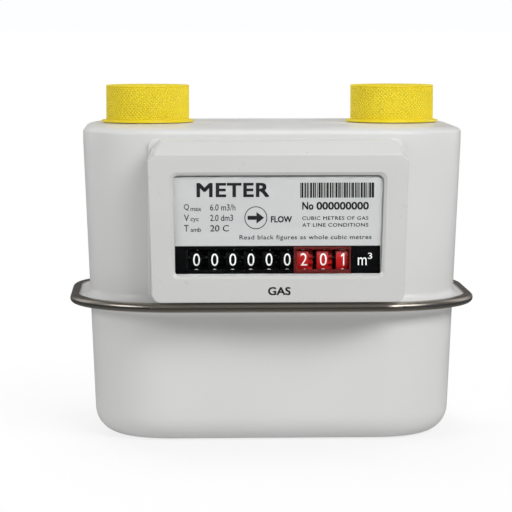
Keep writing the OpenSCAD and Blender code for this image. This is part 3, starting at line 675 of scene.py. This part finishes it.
def port_hole(side):
    """Tool for the hole under a connection."""
    return post("hole", (side * PORT_X, 0), PORT_HOLE_R, CASE_TOP_Z - 12, CASE_TOP_Z + 5)


def bushing_hole():
    """Tool for the hole that the shaft bushing sits in."""
    low, high = box_mm("shaft_bushing")
    centre = ((low.x + high.x) / 2, (low.z + high.z) / 2)
    return rod("hole", centre, 5.0, PAD_FACE - 3, PAD_FACE + 12)


def make_upper_case():
    """The upper shell: one skin from the inside, round the flange and over the outside."""
    under = SEAM_Z + SEAM_GAP
    face = under + FLANGE_T
    rings = upper_skin(SHEET, under)[::-1]
    rings += flange_rings(under, face)
    rings += fillet_rings(face, 1)
    rings += upper_skin(0.0, face + FLANGE_FILLET)[1:]
    shell = loft("upper_shell", rings)
    for side in (-1, 1):
        combine(shell, port_land(side), "UNION")
    combine(shell, index_pad(), "UNION")
    for side in (-1, 1):
        combine(shell, port_hole(side), "DIFFERENCE")
    combine(shell, bushing_hole(), "DIFFERENCE")
    return piece(weld(shell), "case", "case_paint", ["upper_case"])


def index_pad():
    """The raised platform that the index box is screwed to."""
    half_w, low, high, r = 64.8, 74.0, 156.4, 4.5
    edge = 0.9
    corners = rectangle(-half_w, low, half_w, high, r)
    rings = [upright(filleted(corners, 8), PAD_BACK)]
    for a in spread(0, math.pi / 2, 5):
        outline = filleted(inset_corners(corners, edge * (1 - math.cos(a))), 8)
        rings.append(upright(outline, PAD_FACE + edge * (1 - math.sin(a))))
    return loft("pad", rings)


def make_lower_case():
    """The lower shell, from the inside of its bottom round the flange to the outside of its bottom."""
    over = SEAM_Z - SEAM_GAP
    face = over - FLANGE_T
    inner_r = BOTTOM_EDGE_R - SHEET
    rings = []
    for a in spread(0, math.pi / 2, 10):
        inset = SHEET + inner_r * (1 - math.sin(a))
        rings.append(wall_ring(inset, SHEET + inner_r * (1 - math.cos(a))))
    rings += [wall_ring(SHEET, z) for z in spread(BOTTOM_EDGE_R, over, 10)[1:]]
    rings += flange_rings(over, face)
    rings += fillet_rings(face, -1)
    rings += [wall_ring(0.0, z) for z in spread(face - FLANGE_FILLET, BOTTOM_EDGE_R, 10)[1:]]
    for a in spread(math.pi / 2, 0, 14)[1:]:
        inset = BOTTOM_EDGE_R * (1 - math.sin(a))
        rings.append(wall_ring(inset, BOTTOM_EDGE_R * (1 - math.cos(a))))
    return piece(loft("lower_shell", rings), "case", "case_paint", ["lower_case"])


def make_clamp_band():
    """A rolled steel ring, half round outside, that grips both flanges."""
    low, high = box_mm("clamp_band")
    corner_r = 55.0
    bead_r = (high.z - low.z) / 2
    metal_t = 0.7
    lip = 4.9
    soft = 0.15
    quarter = math.pi / 2

    def arc(r, first, last, steps):
        return [(bead_r - r * math.cos(a), r * math.sin(a)) for a in spread(first, last, steps)]

    profile = [(lip, bead_r - metal_t), (lip, bead_r - soft), (lip - soft, bead_r)]
    profile += arc(bead_r, quarter, -quarter, 18)
    profile += [(lip - soft, -bead_r), (lip, soft - bead_r), (lip, metal_t - bead_r)]
    profile += arc(bead_r - metal_t, -quarter, quarter, 12)
    rings = []
    for inset, height in profile:
        half = (high.x - inset, high.y - inset)
        rings.append(rounded_ring(half, corner_r - inset, SEAM_Z + height, arc_steps=28))
    return piece(loft("clamp_ring", rings, closed=True), "case", "band_steel", ["clamp_band"])


make_upper_case()
make_lower_case()
make_clamp_band()


# ---------------------------------------------------------------- pipe connections and caps

PIPE_PITCH = 2.309
THREAD_R = 20.955
THREAD_DEPTH = 1.479
BORE_R = 14.0


def ease(s):
    """A smooth step from 0 to 1."""
    s = min(max(s, 0.0), 1.0)
    return s * s * (3 - 2 * s)


def make_spigot(side, name, node):
    """A zinc-plated spigot with a true helical pipe thread, and its collar under the sheet."""
    low, high = box_mm(node)
    base, top = CASE_TOP_Z, high.z
    steps = 128
    root = THREAD_R - THREAD_DEPTH
    levels = spread(base + 0.3, top - 0.7, 72)

    def thread_radius(angle, z):
        phase = (z - base) / PIPE_PITCH - angle / (2 * math.pi)
        ridge = 0.5 - 0.5 * math.cos(2 * math.pi * phase)
        return root + THREAD_DEPTH * ridge * ease((z - base - 0.6) / 1.6) * ease((top - 0.9 - z) / 1.4)

    plain = [(BORE_R, low.z), (BORE_R + 2, low.z), (BORE_R + 2, base - 5.4), (23.5, base - 5.4),
             (23.5, base - 3), (19.9, base - 3), (19.9, base), (root, base)]
    ending = [(root - 0.5, top - 0.2), (root - 0.9, top), (BORE_R + 0.6, top), (BORE_R, top - 0.6)]
    rings = [[(r, z)] * steps for r, z in plain]
    rings += [[(thread_radius(2 * math.pi * i / steps, z), z) for i in range(steps)] for z in levels]
    rings += [[(r, z)] * steps for r, z in ending]
    spigot = loft(name, revolved(rings, side * PORT_X), closed=True)
    return piece(spigot, "case", "spigot_steel", [node])


def make_cap(side, name, node):
    """A push-on plug cap with a fine diamond knurl, a soft top edge and a thin rim."""
    low, high = box_mm(node)
    base, top = low.z, high.z
    outer, rim, inner = 22.15, 24.5, THREAD_R + 0.25
    ceiling = top - 1.9
    tip = 0.02
    side_r = outer - 0.05
    ridges, steps, knurl, knurl_pitch = 72, 576, 0.62, 1.95
    side_low, side_high = base + 1.35, top - 0.75
    levels = spread(side_low, side_high, 56)

    def knurled(angle, z):
        across = ridges * angle / (2 * math.pi)
        along = (z - side_low) / knurl_pitch
        lump = abs(math.sin(math.pi * (across + along)) * math.sin(math.pi * (across - along)))
        fade = ease((z - side_low) / 0.4) * ease((side_high - z) / 0.3)
        return side_r - knurl * (1 - min(1.0, 1.15 * lump)) * fade

    start = [(tip, ceiling), (inner, ceiling), (inner, base), (rim - 0.25, base), (rim, base + 0.25),
             (rim, base + 0.75), (rim - 0.25, base + 1.0), (outer + 0.2, base + 1.05), (side_r, base + 1.3)]
    edge_r = 0.45
    edge_z = top - 0.3 - edge_r
    ending = []
    for a in spread(0, math.pi / 2, 7):
        ending.append((side_r - edge_r * (1 - math.cos(a)), edge_z + edge_r * math.sin(a)))
    ending += [(18.0, top - 0.22), (12.0, top - 0.08), (6.0, top), (tip, top)]
    rings = [[(r, z)] * steps for r, z in start]
    rings += [[(knurled(2 * math.pi * i / steps, z), z) for i in range(steps)] for z in levels]
    rings += [[(r, z)] * steps for r, z in ending]
    cap = loft(name, revolved(rings, side * PORT_X))
    return piece(cap, node, "cap_plastic", [node], sharp_degrees=50)


for side, end in ((-1, "inlet"), (1, "outlet")):
    make_spigot(side, end + "_thread", end + "_spigot")
    make_cap(side, end + "_knurled_cap", end + "_cap")


# ---------------------------------------------------------------- index box

# Outlines as (x, z, corner radius), anticlockwise from the lower left.
BOX_CORNERS = [
    (-63.3, BOX_LOW, 4.5), (63.3, BOX_LOW, 4.5), (63.3, BOX_HIGH - 5, 0.8),
    (58.3, BOX_HIGH, 0.8), (-58.3, BOX_HIGH, 0.8), (-63.3, BOX_HIGH - 5, 0.8),
]
BEZEL_CORNERS = [
    (-62.8, BOX_LOW, 4.5), (62.8, BOX_LOW, 4.5), (65.0, 147, 0.9),
    (61.6, 150, 0.9), (-61.6, 150, 0.9), (-65.0, 147, 0.9),
]
WINDOW_CORNERS = [
    (-52.75, WINDOW_MID - 26.5, 2.8), (52.75, WINDOW_MID - 26.5, 2.8),
    (54.1, WINDOW_MID + 26.5, 2.8), (-54.1, WINDOW_MID + 26.5, 2.8),
]
SCREW_PLACES = [(side * 57.1, z) for side in (-1, 1) for z in (88, 146)]


def make_index_housing():
    """The frame behind the bezel, with four screw bosses against the case."""
    wall = 2.2
    inner = inset_corners(BOX_CORNERS, wall)
    soft = 0.35
    rings = [
        upright(filleted(BOX_CORNERS), PAD_FACE),
        upright(filleted(BOX_CORNERS), BOX_FRONT + soft),
        upright(filleted(inset_corners(BOX_CORNERS, soft)), BOX_FRONT),
        upright(filleted(inner), BOX_FRONT),
        upright(filleted(inner), PAD_FACE),
    ]
    housing = loft("index_box", rings, closed=True)
    for place in SCREW_PLACES:
        combine(housing, rod("boss", place, 5.0, PAD_FACE - 3, PAD_FACE), "UNION")
    for place in SCREW_PLACES:
        combine(housing, rod("hole", place, 2.2, PAD_FACE - 5, PAD_FACE + 2), "DIFFERENCE")
    return piece(housing, "case", "index_plastic", ["index_housing"])


def make_bezel():
    """The front cover: a wide soft-edged frame with a stepped, bevelled window opening."""
    edge = 0.7
    rings = [upright(filleted(inset_corners(BOX_CORNERS, 0.35)), BOX_FRONT),
             upright(filleted(BOX_CORNERS), BOX_FRONT - 0.35)]
    for a in spread(0, math.pi / 2, 6):
        outline = filleted(inset_corners(BEZEL_CORNERS, edge * (1 - math.cos(a))))
        rings.append(upright(outline, BEZEL_FACE + edge * (1 - math.sin(a))))
    bezel = loft("bezel", rings)
    combine(bezel, window_cutter(), "DIFFERENCE")
    half_w, half_h = 57.1, 29.6
    rebate = rectangle(-half_w, WINDOW_MID - half_h, half_w, WINDOW_MID + half_h, 3)
    combine(bezel, prism("rebate", filleted(rebate, 8), GLASS_FACE, BOX_FRONT + 2), "DIFFERENCE")
    return piece(bezel, "case", "index_plastic", ["index_bezel"], sharp_degrees=24)


def window_cutter():
    """Tool for the opening: a soft outer edge, a slope inwards, and straight sides to the glass.

    Each step is how far the outline grows, its corner radius, and its depth behind the bezel's face.
    """
    steps = [(0.3, 3.4, -0.5), (0.12, 3.3, -0.01), (0.02, 3.2, 0.08),
             (-1.36, 2.9, 0.88), (-1.44, 2.9, 0.98), (-1.45, 2.9, 4)]
    rings = []
    for grow, r, depth in steps:
        corners = [(x, z, r) for x, z, _ in inset_corners(WINDOW_CORNERS, -grow)]
        rings.append(upright(filleted(corners, 8), BEZEL_FACE + depth))
    return loft("opening", rings)


make_index_housing()
make_bezel()


# ---------------------------------------------------------------- printed artwork

INK_T = 0.05


def letter_mesh(words, weight=0.0, spacing=1.0):
    """Closed solid letters, lying in X and Y, one unit thick. A weight thickens or thins their strokes."""
    curve = bpy.data.curves.new("letters", "FONT")
    curve.body = words
    curve.size = 10
    curve.extrude = 0.5
    curve.offset = weight
    curve.space_character = spacing
    curve.resolution_u = 4
    obj = add_object("letters", curve)
    graph = bpy.context.evaluated_depsgraph_get()
    mesh = bpy.data.meshes.new_from_object(obj.evaluated_get(graph))
    bpy.data.objects.remove(obj)
    bm = bmesh.new()
    bm.from_mesh(mesh)
    bmesh.ops.remove_doubles(bm, verts=bm.verts, dist=0.002)
    bmesh.ops.dissolve_degenerate(bm, edges=bm.edges, dist=0.002)
    bm.to_mesh(mesh)
    bm.free()
    return mesh


def bold_mesh(words, weight, spacing=1.0):
    """Letters fused with moved copies of themselves: two for a light weight, four for a heavy one."""
    plain = letter_mesh(words, 0.0, spacing)
    fused = None
    moves = ((-weight, -weight), (weight, weight), (weight, -weight), (-weight, weight))
    for x, y in moves if weight > 0.15 else moves[:2]:
        copy = add_object("copy", plain.copy())
        copy.data.transform(Matrix.Translation((x, y, 0)))
        fused = copy if fused is None else combine(fused, copy, "UNION")
    mesh = fused.data
    bpy.data.objects.remove(fused)
    return mesh


def one_mesh():
    """The numeral one, with its flag."""
    outline = [(1.2, 0), (2.0, 0), (2.0, 7.1), (1.45, 7.1), (0, 5.85), (0, 4.95), (1.2, 5.9)]
    points = [(x, y, z) for z in (-0.5, 0.5) for x, y in outline]
    count = len(outline)
    faces = [tuple(range(count)), tuple(range(2 * count - 1, count - 1, -1))]
    faces += [(i, (i + 1) % count, count + (i + 1) % count, count + i) for i in range(count)]
    mesh = bpy.data.meshes.new("one")
    mesh.from_pydata(points, [], faces)
    return mesh


def span_of(mesh):
    """Lowest and highest X, then lowest and highest Y."""
    xs = [v.co.x for v in mesh.vertices]
    ys = [v.co.y for v in mesh.vertices]
    return min(xs), max(xs), min(ys), max(ys)


class Artwork:
    """Thin raised ink on an upright face, gathered into one mesh."""

    def __init__(self, face_y):
        self.bm = bmesh.new()
        self.face_y = face_y

    def outline(self, points):
        """One filled shape from anticlockwise (x, z) points."""
        depths = (self.face_y - INK_T, self.face_y + 0.01)
        front, back = [[self.bm.verts.new(Vector((x, y, z)) * MM) for x, z in points] for y in depths]
        self.bm.faces.new(front)
        self.bm.faces.new(back[::-1])
        for i in range(len(points)):
            j = (i + 1) % len(points)
            self.bm.faces.new((front[j], front[i], back[i], back[j]))

    def bar(self, x, z, width, height):
        """A filled rectangle from its lower left corner."""
        self.outline([(x, z), (x + width, z), (x + width, z + height), (x, z + height)])

    def ring(self, x, z, outer, inner, steps=64):
        """A circle line."""
        bottom, top = self.face_y + 0.01, self.face_y - INK_T
        section = [(outer, bottom), (outer, top), (inner, top), (inner, bottom)]
        rows = []
        for k in range(steps):
            a = 2 * math.pi * k / steps
            rows.append([self.bm.verts.new(Vector((x + r * math.cos(a), y, z + r * math.sin(a))) * MM)
                         for r, y in section])
        for k in range(steps):
            here, ahead = rows[k], rows[(k + 1) % steps]
            for i in range(4):
                j = (i + 1) % 4
                self.bm.faces.new((here[i], here[j], ahead[j], ahead[i]))

    def text(self, words, x, z, width, height=None, weight=0.0, spacing=1.0, bold=0.0):
        """Letters in a box with its lower left corner at x, z. Without a height they keep their shape."""
        mesh = bold_mesh(words, bold, spacing) if bold else letter_mesh(words, weight, spacing)
        low_x, high_x, low_y, high_y = span_of(mesh)
        scale_x = width / (high_x - low_x)
        scale_z = height / (high_y - low_y) if height else scale_x
        place = Matrix((
            (scale_x, 0, 0, x - low_x * scale_x),
            (0, 0, -(INK_T + 0.01), self.face_y + 0.005 - INK_T / 2),
            (0, scale_z, 0, z - low_y * scale_z),
            (0, 0, 0, 1),
        ))
        mesh.transform(Matrix.Scale(MM, 4) @ place)
        self.bm.from_mesh(mesh)
        bpy.data.meshes.remove(mesh)

    def finish(self, name, slot, material):
        mesh = bpy.data.meshes.new(name)
        bmesh.ops.recalc_face_normals(self.bm, faces=self.bm.faces)
        self.bm.to_mesh(mesh)
        self.bm.free()
        return piece(add_object(name, mesh), "case", slot, material=material, sharp_degrees=20)


def print_barcode(art, x, z, width, height):
    """Upright bars of mixed widths that stand for no number."""
    at = x
    k = 0
    while at < x + width - 0.9:
        bar = 0.34 + 0.22 * (k * 7 % 4)
        art.bar(at, z, bar, height)
        at += bar + 0.24 + 0.14 * (k * 5 % 3)
        k += 1
    art.bar(x + width - 0.5, z, 0.5, height)


def print_flow_mark(art, x, z, r):
    """An arrow in a circle."""
    art.ring(x, z, r, r - 0.42)
    shaft, head, half, neck = 1.0, 2.9, 4.1, 0.3
    art.outline([(x - half, z - shaft), (x + neck, z - shaft), (x + neck, z - head), (x + half, z),
                 (x + neck, z + head), (x + neck, z + shaft), (x - half, z + shaft)])


def make_dial_artwork():
    """The black print on the dial. Each line gives its lower left corner, width and height."""
    art = Artwork(PLATE_FACE)
    art.text("METER", -40.6, 128.7, 36.2, 7.1, bold=0.28, spacing=1.08)
    print_barcode(art, 10.9, 128.3, 36.8, 7.5)
    art.text("No", 11.9, 122.3, 5.6, 3.9, bold=0.3)
    art.text("000000000", 19.0, 122.3, 26.1, 3.9, bold=0.26)
    print_ratings(art)
    print_flow_mark(art, -11.15, 118.4, 5.68)
    art.text("FLOW", -3.7, 116.0, 10.5, 3.2, bold=0.3)
    art.text("CUBIC METRES OF GAS", 11.9, 117.2, 33.0, 1.85, bold=0.14, spacing=1.1)
    art.text("AT LINE CONDITIONS", 11.9, 113.8, 33.0, 1.85, bold=0.14, spacing=1.1)
    art.text("Read black figures as whole cubic metres", -19.3, 106.9, 65.8, 2.9, bold=0.12, spacing=1.08)
    return art.finish("dial_print", "dial_white", INK_BLACK)


def print_ratings(art):
    """Three short lines of quantities, each a sign and a value."""
    lines = [("Q", 2.6, "max", 5.4, "6.0 m3/h", 12.6), ("V", 2.6, "cyc", 4.1, "2.0 dm3", 11.4),
             ("T", 2.4, "amb", 5.2, "20 C", 9.4)]
    for row, (sign, sign_width, index, index_width, value, width) in enumerate(lines):
        low = 122.0 - 5.2 * row
        drop = 0.75 if "y" in index else 0.2
        art.text(sign, -46.9, low, sign_width, 3.3, weight=0.08)
        art.text(index, -43.6, low - drop, index_width, bold=0.12)
        art.text(value, -33.9, low, width, 3.2, bold=0.1)


def make_unit_print():
    """The unit to the right of the drums."""
    art = Artwork(PLATE_FACE)
    art.text("m", 39.7, 94.6, 4.4, 3.9)
    art.text("3", 44.8, 97.7, 2.0, 3.0)
    return art.finish("unit_print", "mask_black", INK_WHITE)


def make_bezel_print():
    """The word under the window, flush with the bezel's face."""
    art = Artwork(BEZEL_FACE + INK_T)
    art.text("GAS", -5.2, 79.9, 11.3, 4.1, bold=0.25)
    return art.finish("bezel_print", "index_plastic", INK_BLACK)


# ---------------------------------------------------------------- window, dial and counter


def band_corners(inset):
    """The counter's opening in the dial, with its two lower corners rounded."""
    mask_low, mask_high = box_mm("counter_mask")
    left, right = mask_low.x + inset, mask_high.x - inset
    return [(left, mask_low.z + inset, 0.8), (right, mask_low.z + inset, 0.8),
            (right, mask_high.z - inset, 0.1), (left, mask_high.z - inset, 0.1)]


def make_window():
    """The clear pane. It casts no shadow, so that the dial behind it stays evenly lit."""
    low, high = box_mm("index_window")
    corners = rectangle(low.x + 0.05, low.z + 0.05, high.x - 0.05, high.z - 0.05, 3.0)
    edge = 0.15
    rings = []
    for grow, y in ((edge, high.y), (0, high.y - edge), (0, low.y + edge), (edge, low.y)):
        rings.append(upright(filleted(inset_corners(corners, grow), 8), y))
    pane = piece(loft("window_pane", rings), "case", "window_clear", ["index_window"])
    pane.visible_shadow = False
    return pane


def make_dial_plate():
    """The light plate behind the window, open where the counter shows."""
    low, high = box_mm("dial_plate")
    plate = prism("dial_face", filleted(rectangle(low.x, low.z, high.x, high.z, 3.0), 8), low.y, high.y)
    cut = prism("cut", filleted(band_corners(0.0)), low.y - 1, high.y + 1)
    combine(plate, cut, "DIFFERENCE")
    return piece(plate, "case", "dial_white", ["dial_plate"])


def slot_limits():
    """Left and right ends of the openings over the black and the red drums."""
    boxes = [box_mm("number_drum_" + str(i)) for i in (1, BLACK_COUNT, BLACK_COUNT + 1, DRUM_COUNT)]
    first, last_black, first_red, last = [b[0].x for b in boxes]
    return (first - 1.15, last_black + DRUM_W + 0.35), (first_red - 0.25, last + DRUM_W + 0.45)


def cut_slot(plate, limits, y_front, y_back):
    """Cuts the opening over a run of drums through a plate between two depths."""
    left, right = limits
    outline = filleted(rectangle(left, SLOT_LOW, right, SLOT_HIGH, 0.3))
    combine(plate, prism("cut", outline, y_front - 1, y_back + 1), "DIFFERENCE")


def make_counter_mask():
    """The black plate in front of the drums, with an opening over each run of drums."""
    low, high = box_mm("counter_mask")
    mask = prism("counter_front", filleted(band_corners(0.01)), low.y, high.y)
    for limits in slot_limits():
        cut_slot(mask, limits, low.y, high.y)
    bevel(mask, 0.14)
    return piece(mask, "case", "mask_black", ["counter_mask"])


def make_decimal_frame():
    """The red border round the decimals."""
    low, high = box_mm("decimal_frame")
    outline = filleted(rectangle(low.x, low.z, high.x, high.z, 0.4))
    frame_plate = prism("decimal_border", outline, low.y, high.y)
    cut_slot(frame_plate, slot_limits()[1], low.y, high.y)
    bevel(frame_plate, 0.1)
    return piece(frame_plate, "case", "frame_red", ["decimal_frame"])


def wrap_digit(digit, turn, centre_x, axis):
    """The faces of one numeral, bent round the drum. turn is its angle above the front."""
    mesh = one_mesh() if digit == "1" else letter_mesh(digit, NUMERAL_WEIGHT)
    zero = letter_mesh("0", NUMERAL_WEIGHT)
    zero_span = span_of(zero)
    bpy.data.meshes.remove(zero)
    low_x, high_x, low_y, high_y = span_of(mesh)
    scale_x = NUMERAL_W / (zero_span[1] - zero_span[0])
    scale_z = NUMERAL_H / (high_y - low_y)
    bm = bmesh.new()
    bm.from_mesh(mesh)
    bpy.data.meshes.remove(mesh)
    for level in spread(low_y, high_y, 12)[1:-1]:
        everything = bm.verts[:] + bm.edges[:] + bm.faces[:]
        bmesh.ops.bisect_plane(bm, geom=everything, dist=1e-4, plane_co=(0, level, 0), plane_no=(0, 1, 0))
    for v in bm.verts:
        across = (v.co.x - (low_x + high_x) / 2) * scale_x
        angle = turn + (v.co.y - (low_y + high_y) / 2) * scale_z / DRUM_R
        r = DRUM_R + (INK_T if v.co.z > 0 else -0.01)
        v.co = Vector((centre_x + across, axis.y - r * math.cos(angle), axis.z + r * math.sin(angle))) * MM
    return bm


def make_drum_numerals(i):
    """Ten white numerals round a drum. At rest the reading's own numeral stands at the front."""
    low, high = box_mm("number_drum_" + str(i))
    axis = Vector((0, (low.y + high.y) / 2, (low.z + high.z) / 2))
    shown = int(READING[i - 1])
    mesh = bpy.data.meshes.new("numerals_" + str(i))
    gathered = bmesh.new()
    for digit in range(10):
        turn = math.radians(36 * (digit - shown)) + NUMERAL_LIFT
        bm = wrap_digit(str(digit), turn, low.x + DRUM_W / 2 + NUMERAL_SHIFT, axis)
        bm.to_mesh(mesh)
        bm.free()
        gathered.from_mesh(mesh)
    bmesh.ops.recalc_face_normals(gathered, faces=gathered.faces)
    gathered.to_mesh(mesh)
    gathered.free()
    slot = "drum_black" if i <= BLACK_COUNT else "drum_red"
    numerals = add_object(mesh.name, mesh)
    return piece(numerals, "number_drum_" + str(i), slot, material=INK_WHITE, sharp_degrees=20)


make_window()
make_dial_plate()
make_counter_mask()
make_decimal_frame()
make_dial_artwork()
make_unit_print()
make_bezel_print()
for drum in range(1, DRUM_COUNT + 1):
    make_drum_numerals(drum)


# ---------------------------------------------------------------- carried-over CAD parts


def dress_cad_nodes():
    """Gives every CAD part that still shows the finish of its own slot."""
    slots = {part["node"]: part["material_slot"] for part in frame["record"]["subparts"]}
    for name, obj in NODES.items():
        if not obj.hide_render:
            obj.data.materials.clear()
            obj.data.materials.append(MATERIALS[slots[name]])


dress_cad_nodes()
